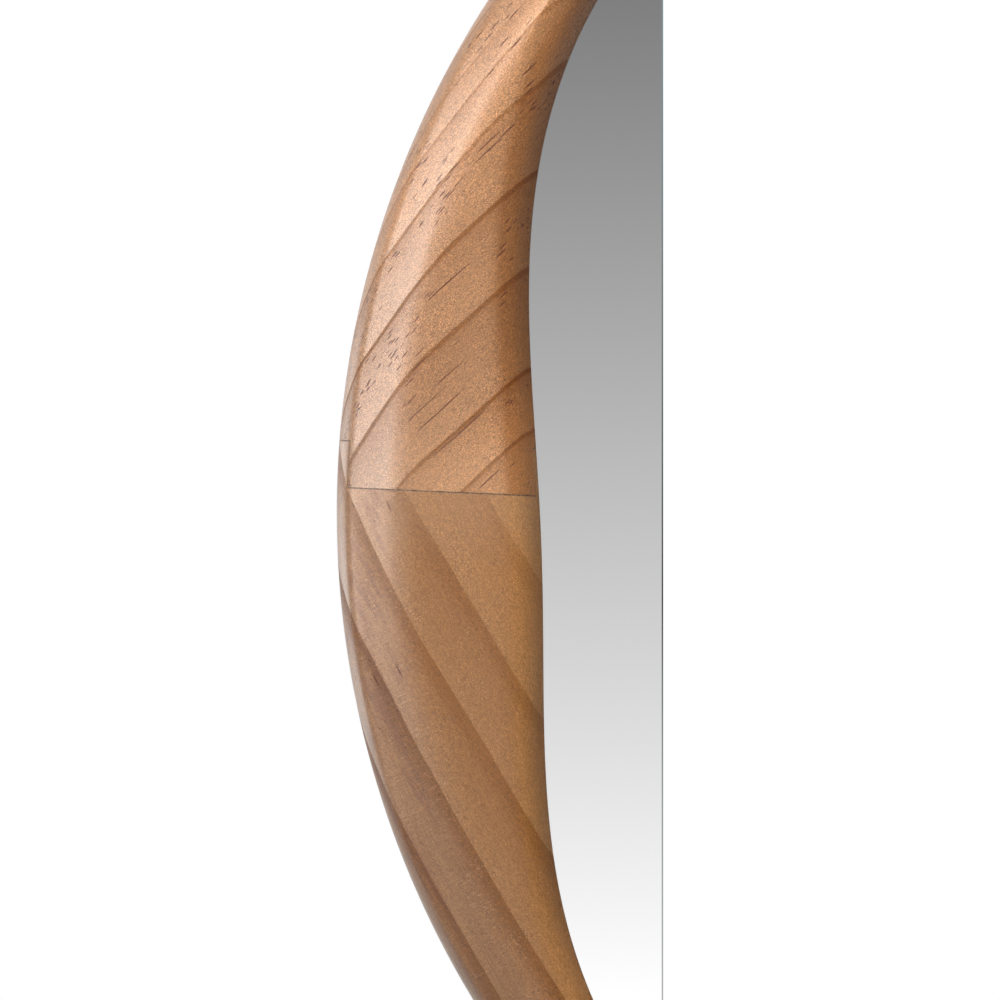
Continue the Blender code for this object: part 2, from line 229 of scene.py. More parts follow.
def rim_section(angle, inset=0.0):
    """Outline at each angle as (distance in from the outside, depth from the front), in metres."""
    width = rim_width(angle)
    swollen = swell(angle)
    facet = FACET_SLIM + (FACET_WIDE - FACET_SLIM) * swollen + hand_waver(angle, 0.00018, 1.0)
    strip = STRIP_WIDTH + hand_waver(angle, 0.00007, 2.0)
    ease = np.minimum(INNER_EASE * (0.92 + 0.25 * np.cos(angle)), 0.46 * width)
    rows = [  # distance in, depth, and how far the corner's curve reaches in mm
        (inset, 0.0080, 1.6),
        (0.00022 + inset, 0.0054, 1.4),
        (strip + inset * 0.7, STRIP_DEPTH + inset * 0.7, 0.75),
        (facet, inset, 2.2),
        (width - ease, inset, 2.2),
        (width - 0.42 * ease - inset * 0.5, 0.0011 + inset * 0.8, 1.2),
        (width - inset, 0.0036, 1.5),
        (width - inset, LIP_DEPTH, 0.12),
        (width - REBATE_WIDTH, LIP_DEPTH, 0.08),
        (width - REBATE_WIDTH, RIM_THICK - inset, 0.2),
        (BACK_ROUND * 0.8, RIM_THICK - inset, 1.0),
        (BACK_ROUND * 0.25 + inset, RIM_THICK - BACK_ROUND * 0.3 - inset, 1.0),
        (inset, RIM_THICK - BACK_ROUND, 1.4)]
    corners = np.stack([np.stack(np.broadcast_arrays(across, depth, angle)[:2], -1)
                        for across, depth, reach in rows], axis=1)
    reaches = np.array([reach for across, depth, reach in rows]) * MM
    return eased_outline(corners, np.broadcast_to(reaches, corners.shape[:2]))


def rim_surface(angle, inset=0.0):
    """Points (angles, outline, 3): x = r sin a, z = centre + r cos a, y = front + depth."""
    outline = rim_section(angle, inset)
    radius = RIM_RADIUS - outline[..., 0]
    return np.stack([radius * np.sin(angle)[:, None], FRONT_Y + outline[..., 1],
                     RIM_Z + radius * np.cos(angle)[:, None]], axis=-1)


# %% [markdown]
# ## Finger joints
# Where two quarters meet, each has fingers in every second layer of its thickness. A comb-shaped
# block, a crenellated outline pushed across the rim, cuts both ends of each quarter. The outline
# steps back and forth by one finger's length, and each face keeps half of the glue line.

# %% Joints
HALF_FINGER = FINGER_LENGTH / 2 / RIM_RADIUS
FINGER_TURN = FINGER_LENGTH / RIM_RADIUS
JOINTS = [(-HALF_FINGER, 0.0), (pi / 2 - SIDE_JOINT_RISE - FINGER_TURN, -SIDE_JOINT_SKEW),
          (pi - HALF_FINGER, 0.0), (1.5 * pi + SIDE_JOINT_RISE, SIDE_JOINT_SKEW)]


COMB_LENGTH = 0.02


def comb(name, joint, side):
    """A block on one side (-1 before, +1 after) of a joint's stepped face.

    Its outline in (along, depth) follows the steps: odd layers reach a finger further."""
    angle, skew = joint
    gap = GLUE_LINE / 2 * side
    outline = []
    for layer in range(FINGERS):
        reach = (FINGER_LENGTH if layer % 2 else 0.0) - gap
        thin = -gap if layer % 2 else gap
        low = layer * LAYER - thin if layer else -LAYER
        high = (layer + 1) * LAYER + thin if layer < FINGERS - 1 else RIM_THICK + LAYER
        outline += [(reach, low), (reach, high)]
    far = side * COMB_LENGTH
    outline = np.array(outline + [(far, RIM_THICK + LAYER), (far, -LAYER)])
    corner = np.array([RIM_RADIUS * sin(angle), RIM_Z + RIM_RADIUS * cos(angle)])
    inward = np.array([-sin(angle + skew), -cos(angle + skew)])
    forward = np.array([-inward[1], inward[0]])
    across = np.array([-0.3, 1.7])[:, None, None] * RIM_WIDE
    plan = corner + across * inward + outline[None, :, :1] * forward
    points = np.stack([plan[..., 0], np.broadcast_to(FRONT_Y + outline[:, 1], plan.shape[:2]),
                       plan[..., 1]], axis=-1)
    return add_piece(name, mesh_from_grid(name, points))


RIM_STEPS = 420              # rows of points round one quarter
JOINT_MARGIN = 0.06          # radians of spare rim before each joint is cut


def make_quarter(name, first, last):
    """One quarter of the rim: a swept section with both ends cut to fingers."""
    start, end = first[0], last[0] if last[0] > first[0] else last[0] + 2 * pi
    angle = np.linspace(start - JOINT_MARGIN, end + JOINT_MARGIN + FINGER_TURN, RIM_STEPS)
    piece = add_piece(name, mesh_from_grid(name, rim_surface(angle)))
    return cut_with(piece, [comb(name + "_start", first, -1), comb(name + "_end", last, 1)], 38)


quarters = {side: make_quarter(f"fine_rim_{side}", JOINTS[number], JOINTS[(number + 1) % 4])
            for number, side in enumerate(SIDES)}
for side, piece in quarters.items():
    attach(piece, "mirror")
    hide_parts(f"rim_{side}")
    print(f"rim {side}: {len(piece.data.polygons)} faces")

# %% [markdown]
# ## Glue
# The same swept section, set in a little from the surface, fills each joint, and both finished
# quarters are taken away from it: what is left is the film of glue, with every step.

# %% Glue films
GLUE_INSET = 0.00005
GLUE_MARGIN = 0.012          # radians of film past the joint, before the quarters are taken away


def make_glue(name, joint, before, after):
    """The rim's section across one joint, less the two quarters that meet there."""
    angle = np.linspace(joint[0] - GLUE_MARGIN, joint[0] + FINGER_TURN + GLUE_MARGIN, 24)
    film = add_piece(name, mesh_from_grid(name, rim_surface(angle, GLUE_INSET)))
    return cut_with(film, [link_object(name + "_cutter", quarter.data.copy()) for quarter in (before, after)])


glue_films = []
for number, place in enumerate(("top", "right", "bottom", "left")):
    film = make_glue(f"glue_{place}", JOINTS[number], quarters[SIDES[number - 1]], quarters[SIDES[number]])
    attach(film, "mirror")
    glue_films.append(film)
    print(f"glue film {place}: {len(film.data.polygons)} faces")

# %% [markdown]
# ## Handle
# The handle is a stack of rounded-oblong slices that follow a flare, a slim neck and a full palm.
# Its top is hollowed to the outside of the rim, as a joiner copes one rounded piece over another.

# %% Handle
HANDLE_TOP = RIM_Z - RIM_RADIUS
HANDLE_LENGTH = HANDLE_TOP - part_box("handle")[0][2]
NECK_WIDTH, PALM_WIDTH = 0.0230, 0.0315
NECK_THICK, PALM_THICK = 0.0142, 0.0185
FLARE_WIDTH, FLARE_LENGTH = 0.0150, 0.0110
PALM_PLACE = 0.62            # share of the length at which the palm is fullest
END_ROUND = 0.0150
OBLONG = 0.78                # 1 would make a slice an ellipse, 0 a rectangle
TUCK = RIM_WIDE * 0.4        # how far the handle starts inside the rim, before it is coped


def make_handle():
    """Slices at drops below the rim; half widths are neck + palm fill + exp flare, and the end
    closes as a quarter circle. Each slice is |cos| and |sin| of its angle, to the power OBLONG."""
    share = np.linspace(0, 1, 200)
    drop = -TUCK + (HANDLE_LENGTH + TUCK) * np.sin(pi / 2 * share) ** 0.9
    fill = np.sin(pi / 2 * np.clip(drop / (HANDLE_LENGTH * PALM_PLACE), 0, 1)) ** 2
    flare = FLARE_WIDTH / 2 * np.exp(-(np.maximum(drop, 0) / FLARE_LENGTH) ** 1.5)
    half_width = NECK_WIDTH / 2 + (PALM_WIDTH - NECK_WIDTH) / 2 * fill + flare
    half_thick = (NECK_THICK + (PALM_THICK - NECK_THICK) * fill) / 2
    left = np.clip((HANDLE_LENGTH - drop) / END_ROUND, 0, 1)
    close = np.maximum(np.sqrt(np.clip(1 - (1 - left) ** 2, 0, 1)), 0.03)
    c, s = np.cos(round_turn(96)), np.sin(round_turn(96))
    x = (half_width * close)[:, None] * np.sign(c) * np.abs(c) ** OBLONG
    y = (half_thick * close)[:, None] * np.sign(s) * np.abs(s) ** OBLONG
    z = np.broadcast_to((HANDLE_TOP - drop)[:, None], x.shape)
    handle = add_piece("fine_handle", mesh_from_grid("fine_handle", np.stack([x, y, z], axis=-1)))
    angle = np.linspace(pi - 0.4, pi + 0.4, 160)
    cope = add_piece("cope", mesh_from_grid("cope", rim_surface(angle, -GLUE_LINE)))
    return cut_with(handle, [cope], 40)


handle = make_handle()
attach(handle, "mirror")
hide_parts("handle")
print("handle:", len(handle.data.polygons), "faces")

# %% [markdown]
# ## Turned pieces
# A screw and a bumper are both round, so each is a profile of (radius, height) pairs swept about
# its axis. The screw's slot is a block cut out of the head.

# %% Turned surfaces
BUTTONS = [joint["pos_m"] for joint in frame["record"]["behaviour"]["joints"]]


def loop(reach, turns, y):
    """Points round an axis along y: x = reach cos turn, z = reach sin turn."""
    return np.stack([reach * np.cos(turns), np.full_like(turns, y), reach * np.sin(turns)], -1)


def turned_points(profile, steps=48):
    """Points (profile, steps, 3): one loop for each (radius, height) pair."""
    return np.stack([loop(radius, round_turn(steps), height) for radius, height in profile])


def placed(points, turn, centre):
    """Turn points about +Y by an angle, then move them to a centre."""
    x, y, z = points[..., 0], points[..., 1], points[..., 2]
    return np.stack([x * cos(turn) + z * sin(turn) + centre[0], y + centre[1],
                     z * cos(turn) - x * sin(turn) + centre[2]], axis=-1)


def eased_profile(corners, reach, steps=5):
    """An open profile with eased inner corners, by the same curve as the rim's outline."""
    corners = np.array(corners, dtype=float)
    t = np.linspace(0, 1, steps)[:, None]
    points = [corners[:1]]
    for before, corner, after, r in zip(corners[:-2], corners[1:-1], corners[2:], reach):
        start, end = (corner + (other - corner) * min(LONGEST_EASE, r / np.linalg.norm(other - corner))
                      for other in (before, after))
        points.append(eased_corner(start, corner, end, t))
    return np.concatenate(points + [corners[-1:]])


# %% Screws
SCREW_RADIUS, SCREW_HEAD_RADIUS, SCREW_HEAD_HEIGHT = 0.0013, 0.0028, 0.0017
SLOT_WIDTH, SLOT_DEPTH = 0.0007, 0.0008
SCREW_TURNS = (-25, 40, 80, 10, 55, -60)     # degrees, where each slot came to rest
screws = []
for number, pivot in enumerate(BUTTONS, 1):
    low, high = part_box(f"screw_{number}")
    under_head = high[1] - SCREW_HEAD_HEIGHT
    share = np.linspace(0, 1, 12)[1:-1]
    dome = [(SCREW_HEAD_RADIUS * cos(pi / 2 * t ** 1.3), under_head + SCREW_HEAD_HEIGHT
             * (0.35 + 0.65 * sin(pi / 2 * t) ** 1.2)) for t in share]
    profile = [(0.0002, low[1]), (SCREW_RADIUS, low[1] + 0.002), (SCREW_RADIUS, under_head),
               (SCREW_HEAD_RADIUS * 0.97, under_head), (SCREW_HEAD_RADIUS, under_head + 0.00012)]
    profile += dome + [(0.00004, high[1])]
    turn = radians(SCREW_TURNS[number - 1])
    centre = (pivot[0], 0, pivot[2])
    points = placed(turned_points(profile), turn, centre)
    screw = add_piece(f"fine_screw_{number}", mesh_from_grid("screw", points))
    half, end, bottom, top = SLOT_WIDTH / 2, SCREW_HEAD_RADIUS * 1.5, high[1] - SLOT_DEPTH, high[1] + 0.001
    slot = np.array([[(x, bottom, -half), (x, top, -half), (x, top, half), (x, bottom, half)]
                     for x in (-end, end)])
    cutter = add_piece("slot", mesh_from_grid("slot", placed(slot, turn, centre)))
    cut_with(screw, [cutter], 30)
    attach(screw, "mirror")
    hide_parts(f"screw_{number}")
    screws.append(screw)
print("screw:", len(screws[0].data.polygons), "faces each")

# %% Bumpers
bumpers = []
for number in range(1, 5):
    low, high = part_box(f"bumper_{number}")
    radius, base, top = (high[0] - low[0]) / 2, low[1], high[1]
    corners = [(radius * 0.9, base), (radius, base + 0.0003), (radius * 0.97, top - 0.0011),
               (radius * 0.8, top), (0.00005, top)]
    profile = [(0.00005, base), *eased_profile(corners, (0.2 * MM, 0.6 * MM, 0.9 * MM))]
    centre = ((low[0] + high[0]) / 2, 0, (low[2] + high[2]) / 2)
    points = placed(turned_points(profile, 64), 0, centre)
    bumper = add_piece(f"fine_bumper_{number}", mesh_from_grid("bumper", points))
    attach(bumper, "mirror")
    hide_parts(f"bumper_{number}")
    bumpers.append(bumper)
print("bumper:", len(bumpers[0].data.polygons), "faces each")

# %% [markdown]
# ## Turn buttons
# A turn button is a flat brass plate with round ends and a hole. Its skin is one closed ring: the
# outline and the hole are two loops with the same number of points, joined over the top, down
# the eased edges and back underneath.

# %% Turn buttons
BUTTON_REACH, BUTTON_TAIL, BUTTON_WIDTH = 0.0150, 0.0042, 0.0074
HOLE_RADIUS = SCREW_RADIUS + 0.0003
EASE = 0.00022


def button_outline(turn, inset):
    """Distance from the pivot to a round-ended bar's edge, in each direction round the pivot."""
    half = BUTTON_WIDTH / 2 - inset
    c, s = np.cos(turn), np.sin(turn)
    tail, tip = BUTTON_TAIL - BUTTON_WIDTH / 2, BUTTON_REACH - BUTTON_WIDTH / 2
    centre = np.where(s > 0, tail, -tip)
    along = centre * s
    to_end = along + np.sqrt(np.maximum(half ** 2 - centre ** 2 + along ** 2, 0))
    to_side = half / np.maximum(np.abs(c), 1e-6)
    end_z = to_side * s
    on_side = (end_z <= tail) & (end_z >= -tip)
    return np.where(on_side, to_side, to_end)


def button_turns(count):
    """Directions that put the outline's points evenly along the bar instead of evenly in angle."""
    fine = np.linspace(0, 2 * pi, 4000)
    reach = button_outline(fine, 0)
    edge = np.stack([reach * np.cos(fine), reach * np.sin(fine)], -1)
    length = np.concatenate([[0], np.cumsum(np.linalg.norm(np.diff(edge, axis=0), axis=1))])
    return np.interp(np.linspace(0, length[-1], count, endpoint=False), length, fine)


def make_button(name, number):
    """Up the outline, over the top, down the hole and back underneath, as one ring of loops."""
    low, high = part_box(f"turn_button_{number}")
    pivot, top, base = BUTTONS[number - 1], high[1], low[1]
    turns = button_turns(120)
    loops = [loop(button_outline(turns, inset), turns, y) for inset, y in
             ((0.0, base + EASE), (0.0, top - EASE), (EASE * 0.3, top - EASE * 0.3), (EASE, top))]
    hole = [loop(radius, turns, y) for radius, y in
            ((HOLE_RADIUS + EASE, top), (HOLE_RADIUS, top - EASE), (HOLE_RADIUS, base + EASE),
             (HOLE_RADIUS + EASE, base))]
    between = [loops[-1] * (1 - share) + hole[0] * share for share in (0.35, 0.7)]
    loops += between + hole + [loop(button_outline(turns, EASE), turns, base)]
    angle = atan2(pivot[0], pivot[2] - RIM_Z)
    points = placed(np.stack(loops), angle, (pivot[0], 0, pivot[2]))
    return add_piece(name, mesh_from_grid(name, points, wrap_rows=True), 35)


buttons = []
for number in range(1, 7):
    button = make_button(f"fine_turn_button_{number}", number)
    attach(button, f"button_{number}")
    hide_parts(f"turn_button_{number}")
    buttons.append(button)
print("turn button:", len(buttons[0].data.polygons), "faces each")

# %% [markdown]
# ## Glass and back board
# Both fill the rebate, so both follow the rim's inner outline. The glass has a ground edge, and
# the board's back edge is eased. The foam pad between them is never seen and stays as packed.

# %% Sheets in the rebate
SHEET_PLAY = 0.0006          # gap between a sheet's edge and the rebate


def make_sheet(name, node, ease, steps=360):
    """A sheet whose edge follows the opening; rings run in from both faces to a small middle."""
    low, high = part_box(node)
    angle = round_turn(steps)
    edge = RIM_RADIUS - rim_width(angle) + REBATE_WIDTH - SHEET_PLAY
    shrinks = 1 - np.linspace(0, 1, 14) * 0.999
    rings = [((edge - ease) * shrink, low[1]) for shrink in shrinks[::-1]]
    rings += [(edge, low[1] + ease), (edge, high[1] - ease)]
    rings += [((edge - ease) * shrink, high[1]) for shrink in shrinks]
    points = np.stack([np.stack([reach * np.sin(angle), np.full_like(angle, y),
                                 RIM_Z + reach * np.cos(angle)], -1) for reach, y in rings])
    return add_piece(name, mesh_from_grid(name, points))


glass = make_sheet("fine_mirror_glass", "mirror_glass", 0.0003)
board = make_sheet("fine_back_board", "back_board", 0.0004)
for piece, node, slot in ((glass, "mirror_glass", "silvered_glass"), (board, "back_board", "plywood")):
    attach(piece, "mirror")
    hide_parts(node)
print("glass and board:", len(glass.data.polygons), "faces each")

# %% [markdown]
# ## Writing shaders as sums
# A finish is a formula of the place on the piece. The small class below wraps one socket, so that
# `1 - mask` or `a * 0.5 + b` adds the Math nodes by itself, and one method adds any other node.

# %% Shader helper
class Field:
    """A value that varies over a surface: one output socket of a material's nodes."""

    def __init__(self, shader, socket):
        self.shader, self.socket = shader, socket

    def maths(self, operation, *values):
        return self.shader.node("Math", {"operation": operation}, dict(enumerate(values)))

    def __add__(self, other): return self.maths("ADD", self, other)
    def __radd__(self, other): return self.maths("ADD", other, self)
    def __sub__(self, other): return self.maths("SUBTRACT", self, other)
    def __rsub__(self, other): return self.maths("SUBTRACT", other, self)
    def __mul__(self, other): return self.maths("MULTIPLY", self, other)
    def __rmul__(self, other): return self.maths("MULTIPLY", other, self)
    def __truediv__(self, other): return self.maths("DIVIDE", self, other)
    def __rtruediv__(self, other): return self.maths("DIVIDE", other, self)
    def __pow__(self, other): return self.maths("POWER", self, other)
    def __lt__(self, other): return self.maths("LESS_THAN", self, other)
    def __gt__(self, other): return self.maths("GREATER_THAN", self, other)
    def fraction(self): return self.maths("FRACT", self)
    def size(self): return self.maths("ABSOLUTE", self)
    def at_least(self, other): return self.maths("MAXIMUM", self, other)
    def at_most(self, other): return self.maths("MINIMUM", self, other)

    def rise(self, low, high, start=0.0, end=1.0):
        """Smoothly from start to end as the value goes from low to high."""
        return self.shader.node("MapRange", {"interpolation_type": "SMOOTHSTEP"},
                                {0: self, 1: low, 2: high, 3: start, 4: end})


class Shader:
    """One material and the nodes in it."""

    def __init__(self, name, owner=None):
        """Nodes of a new material, or of the world or lamp that is given as owner."""
        self.material = owner or bpy.data.materials.new(name)
        self.material.use_nodes = True
        self.tree = self.material.node_tree
        self.tree.nodes.clear()

    def node(self, kind, settings=None, sockets=None, output=0):
        """Add a ShaderNode of a kind, set its settings, then give its sockets values or links."""
        made = self.tree.nodes.new("ShaderNode" + kind)
        for key, value in (settings or {}).items():
            if key == "stops":
                while len(made.color_ramp.elements) < len(value):
                    made.color_ramp.elements.new(1.0)
                for stop, (place, colour) in zip(made.color_ramp.elements, value):
                    stop.position = place
                    stop.color = (*colour, 1.0) if np.ndim(colour) else (colour, colour, colour, 1.0)
            elif key == "points":
                curve = made.mapping.curves[0]
                curve.points[0].location, curve.points[1].location = value[0], value[-1]
                for place in value[1:-1]:
                    curve.points.new(*place)
                for point in curve.points:
                    point.handle_type = 'VECTOR'
                made.mapping.update()
            else:
                setattr(made, key, value)
        for key, value in (sockets or {}).items():
            if isinstance(value, Field):
                self.tree.links.new(value.socket, made.inputs[key])
            else:
                made.inputs[key].default_value = value
        return Field(self, made.outputs[output]) if len(made.outputs) else None

    def place(self):
        """Object coordinates, in metres."""
        return self.node("TexCoord", output="Object")

    def along(self, direction, place, scale=1000.0):
        """Distance of the place along a direction, in millimetres unless scaled otherwise."""
        vector = tuple(float(part) * scale for part in direction)
        return self.node("VectorMath", {"operation": "DOT_PRODUCT"}, {0: place, 1: vector}, "Value")

    def facing(self, direction):
        """1 where the surface faces along the direction, 0 where it stands side on."""
        return self.along(direction, self.node("NewGeometry", output="Normal"), 1.0)

    def axes(self, scale=1000.0):
        """The place's x, y and z."""
        place = self.place()
        return [self.along(axis, place, scale) for axis in np.eye(3)]

    def vector(self, place):
        """A place as it is, or one put together from three values, which may stretch the pattern."""
        return place if isinstance(place, Field) else self.node("CombineXYZ", None, dict(enumerate(place)))

    def noise(self, place, scale=1.0, detail=2.0, rough=0.5):
        return self.node("TexNoise", None, {"Vector": self.vector(place), "Scale": scale,
                                            "Detail": detail, "Roughness": rough})

    def cells(self, place, scale=1.0, output="Distance"):
        return self.node("TexVoronoi", None, {"Vector": self.vector(place), "Scale": scale}, output)

    def ramp(self, value, stops):
        return self.node("ValToRGB", {"stops": stops}, {0: value})

    def curve(self, value, points):
        return self.node("FloatCurve", {"points": points}, {"Value": value})

    def mix(self, share, first, second, blend="MIX"):
        """Mix two colours: first where share is 0 and second where it is 1."""
        first, second = (value if isinstance(value, Field) else (*value, 1.0) for value in (first, second))
        return self.node("Mix", {"data_type": "RGBA", "blend_type": blend, "clamp_factor": True},
                         {0: share, 6: first, 7: second}, 2)

    def bump(self, height, distance, strength=1.0):
        return self.node("Bump", None, {"Height": height, "Distance": distance, "Strength": strength})

    def finish(self, **sockets):
        """The Principled shader and the output, with sockets named as in Blender, _ for a space."""
        surface = self.node("BsdfPrincipled", None,
                            {key.replace("_", " "): value for key, value in sockets.items()})
        return self.show(surface)

    def show(self, surface, output="OutputMaterial"):
        """End in a surface, and give back the material."""
        self.node(output, None, {"Surface": surface})
        return self.material


def dress(piece, material):
    """Give a piece one material, in its own slots."""
    if len(piece.material_slots) == 0:
        piece.data.materials.append(material)
    for slot in piece.material_slots:
        slot.material = material


# %% [markdown]
# ## Stained pine
# Pine grows pale, fast wood in spring and a thin dark line in late summer, which ends sharply.
# So the colour is a solid pattern: the distance across the rings, warped a little, is turned into
# a count of rings by a curve through the ring borders, and the part of that count after the point
# says how old the wood is within its year. Resin canals are long thin threads along the grain.
# Stain and sanding, and some painted light and shade, then depend on where the place lies on the rim's
# section.

# %% Stained pine
EARLY_TONE = (0.430, 0.200, 0.076)
GOLDEN_TONE = (0.425, 0.193, 0.064)
LATE_TONE = (0.215, 0.068, 0.004)
BAND_TONE = (0.238, 0.080, 0.010)
RESIN_TONE = (0.125, 0.026, 0.010)
PALE_FIBRE_AND_SHEEN_TONE = (0.74, 0.50, 0.33)
STREAK_TINT = (0.62, 0.46, 0.36)
RADIUS_MM, CENTRE_MM, FRONT_MM = RIM_RADIUS / MM, RIM_Z / MM, FRONT_Y / MM
FACET_EDGE = 7.4             # mm in from the outside, where the facet meets the flat front
CANAL = (17.0, 0.36, 0.50)   # mm from one resin canal to the next: along, across and in depth
PORE = (1.4, 0.6, 0.6)
RIGHT_JOINT, LEFT_JOINT = ([RIM_RADIUS * sin(angle), FRONT_Y, RIM_Z + RIM_RADIUS * cos(angle)]
                           for angle, skew in JOINTS[1::2])


def pine(name, origin, grain, tilt, rings, strengths, profile, resin, tones=None, early=EARLY_TONE,
         late=LATE_TONE, tone=1.0, rough_grain=1.0, hairs=1.0, gloss=1.0, opening_light_and_shade=(1.0, 1.0, 1.0),
         facet_streaks=0.0, facet_painted_shade=0.18, fibre_and_sheen_share=None, seed=0.0):
    """Stained pine for one piece.

    `grain` is the fibre's angle above +X; rings are borders in mm from `origin`, counted at right
    angles to the fibre, to its right-hand side, and `tilt` is how far a ring leans per mm of
    depth. `profile` gives darkness over one ring, from its sharp border on; `strengths` scales it
    and `tones` the whole colour, border by border (0.5 changes nothing). `resin` lists where resin
    canals lie, as (distance, amount) pairs. The tint for the rounding at the opening paints shade
    there where it is below 1 and light where it is above 1; the facet's share of painted shade
    darkens the whole facet, and `facet_streaks` darkens it in streaks."""
    shader = Shader(name)
    place = shader.place()
    fibre, across = np.array([cos(grain), 0, sin(grain)]), np.array([sin(grain), tilt, -cos(grain)])
    edgewise = np.cross(fibre, across / np.linalg.norm(across))
    l, a, e = (shader.along(direction, place) for direction in (fibre, across, edgewise))
    x, y, z = shader.axes()
    depth = y - FRONT_MM
    radius = (x * x + (z - CENTRE_MM) * (z - CENTRE_MM)) ** 0.5
    inwards = RADIUS_MM - radius
    # near the opening the rings lean less: take back most of their shift with depth, in front
    a = a - depth * inwards.rise(7.0, 12.0) * (1 - depth.rise(5.0, 9.0)) * (tilt * 0.9)
    slow = shader.noise((l * 0.012 + seed, a * 0.05, e * 0.05))
    wobble = shader.noise((l * 0.07, a * 0.25 + seed, e * 0.25))
    a = a - float(np.dot(across, origin)) * 1000 + (slow - 0.5) * 1.6 + (wobble - 0.5) * 0.5
    low, high, last = rings[0], rings[-1], len(rings) - 1
    share = (a - low) / (high - low)

    def by_distance(distances, values):
        """A value that runs straight from each distance across the rings to the next."""
        return shader.curve(share, [((d - low) / (high - low), v) for d, v in zip(distances, values)])

    age = (by_distance(rings, np.linspace(0, 1, last + 1)) * last).fraction()
    dark = shader.ramp(age, profile) * by_distance(rings, strengths)
    # slow changes of tone along the grain, streaks, the mottle of a sanded surface, and fine fibres
    cloud = shader.noise((l * 0.03, a * 0.12, e * 0.12 + seed), detail=3.0)
    streak = shader.noise((l * 0.09, a * 2.4, e * 2.4), detail=3.0, rough=0.65)
    speckle = shader.noise((l * 1.5, a * 3.6, e * 3.6), detail=3.0, rough=0.75)
    patch = shader.noise((l * 0.2, a * 0.2 + seed, e * 0.2)).rise(0.50, 0.62)
    dust = (shader.noise(place, 7600.0, 2.0, 0.8) - 0.5) * (0.95 + patch * 0.5)
    hair = shader.noise((l * 5.5, a * 0.5, e * 5.5), rough=0.6)
    colour = shader.mix((dark + (streak - 0.5) * 0.40).at_least(0.0), early, late)
    light = speckle.rise(0.30, 0.70, 0.84, 1.16) * (0.84 + cloud * 0.32) * hair.rise(0.3, 0.7, 0.90, 1.10)
    light = light * (1 + dust * (3.8 * rough_grain)).at_least(0.60) * tone
    light = light * by_distance(rings, tones or [0.5] * len(rings)) * 2
    colour = shader.node("VectorMath", {"operation": "SCALE"}, {0: colour, "Scale": light})
    # resin canals: thin threads along the grain, kept where `resin` puts them
    thread = shader.vector((l / CANAL[0] + (wobble - 0.5) * 0.2, a / CANAL[1], e / CANAL[2] + seed))
    chosen = shader.node("SeparateColor", None, {0: shader.cells(thread, output="Color")})
    canal = shader.cells(thread).rise(0.20, 0.30, 1.0, 0.0) * (chosen < by_distance(*zip(*resin)))
    colour = shader.mix(canal * 0.95, colour, RESIN_TONE)
    # pores: short dark dots everywhere
    dots = shader.cells((l / PORE[0], a / PORE[1], e / PORE[2])).rise(0.08, 0.20, 1.0, 0.0)
    colour = shader.mix(dots * 0.40 * rough_grain, colour, RESIN_TONE)
    # pale loose fibres in patches and by the left joint, and pale hairs on the outer strip and the facet's
    # edge that are partly loose fibres and partly painted sheen
    outer = inwards.rise(3.2, 1.2)
    corner = fibre_and_sheen_share or (inwards - FACET_EDGE).size().rise(2.4, 0.8).at_least(outer)
    flush = (z - LEFT_JOINT[2] * 1000).size().rise(11.0, 1.0)
    pale_fibres_and_sheen = hair.rise(0.56, 0.72) * (patch * 0.20 + corner * 0.20) * hairs + flush * 0.10
    colour = shader.mix(pale_fibres_and_sheen, colour, PALE_FIBRE_AND_SHEEN_TONE)
    # painted shade on the rounding to the opening where the tint is below 1, and painted light where it is
    # above 1
    rounding = depth.rise(0.0, 0.45) * inwards.rise(FACET_EDGE, FACET_EDGE + 2.0)
    colour = shader.mix(rounding, colour, opening_light_and_shade, "MULTIPLY")
    # painted shade darkens the whole facet; the facet is also cut across the fibres, which drink the stain,
    # some of them more than others
    thirst = shader.noise((l * 0.045, a * 0.8 + seed, e * 0.8), detail=3.0, rough=0.6).rise(0.44, 0.66)
    facet = depth.rise(0.15, 1.4) * inwards.rise(FACET_EDGE + 1.2, FACET_EDGE - 0.4)
    colour = shader.mix(facet * facet_painted_shade, colour, (0.0, 0.0, 0.0))
    colour = shader.mix(facet * thirst * facet_streaks, colour, STREAK_TINT, "MULTIPLY")
    height = speckle * 0.6 + dust * (0.7 * rough_grain) + streak * 0.3 + hair * 0.5 - canal - dots * 0.5
    # the coat is thin on dark wood, over canals and on the rounding
    coat = (0.55 - dark * 0.52 - canal * 0.4).at_least(0.0) * (1 - rounding * 0.5)
    return shader.finish(Base_Color=colour, Roughness=0.34 + speckle * 0.16 + dark * 0.20,
                         Normal=shader.bump(height, 0.00009), Specular_IOR_Level=0.25 + 0.25 * gloss,
                         Coat_Weight=coat * (gloss + outer * (1 - gloss)), Coat_Roughness=0.28)


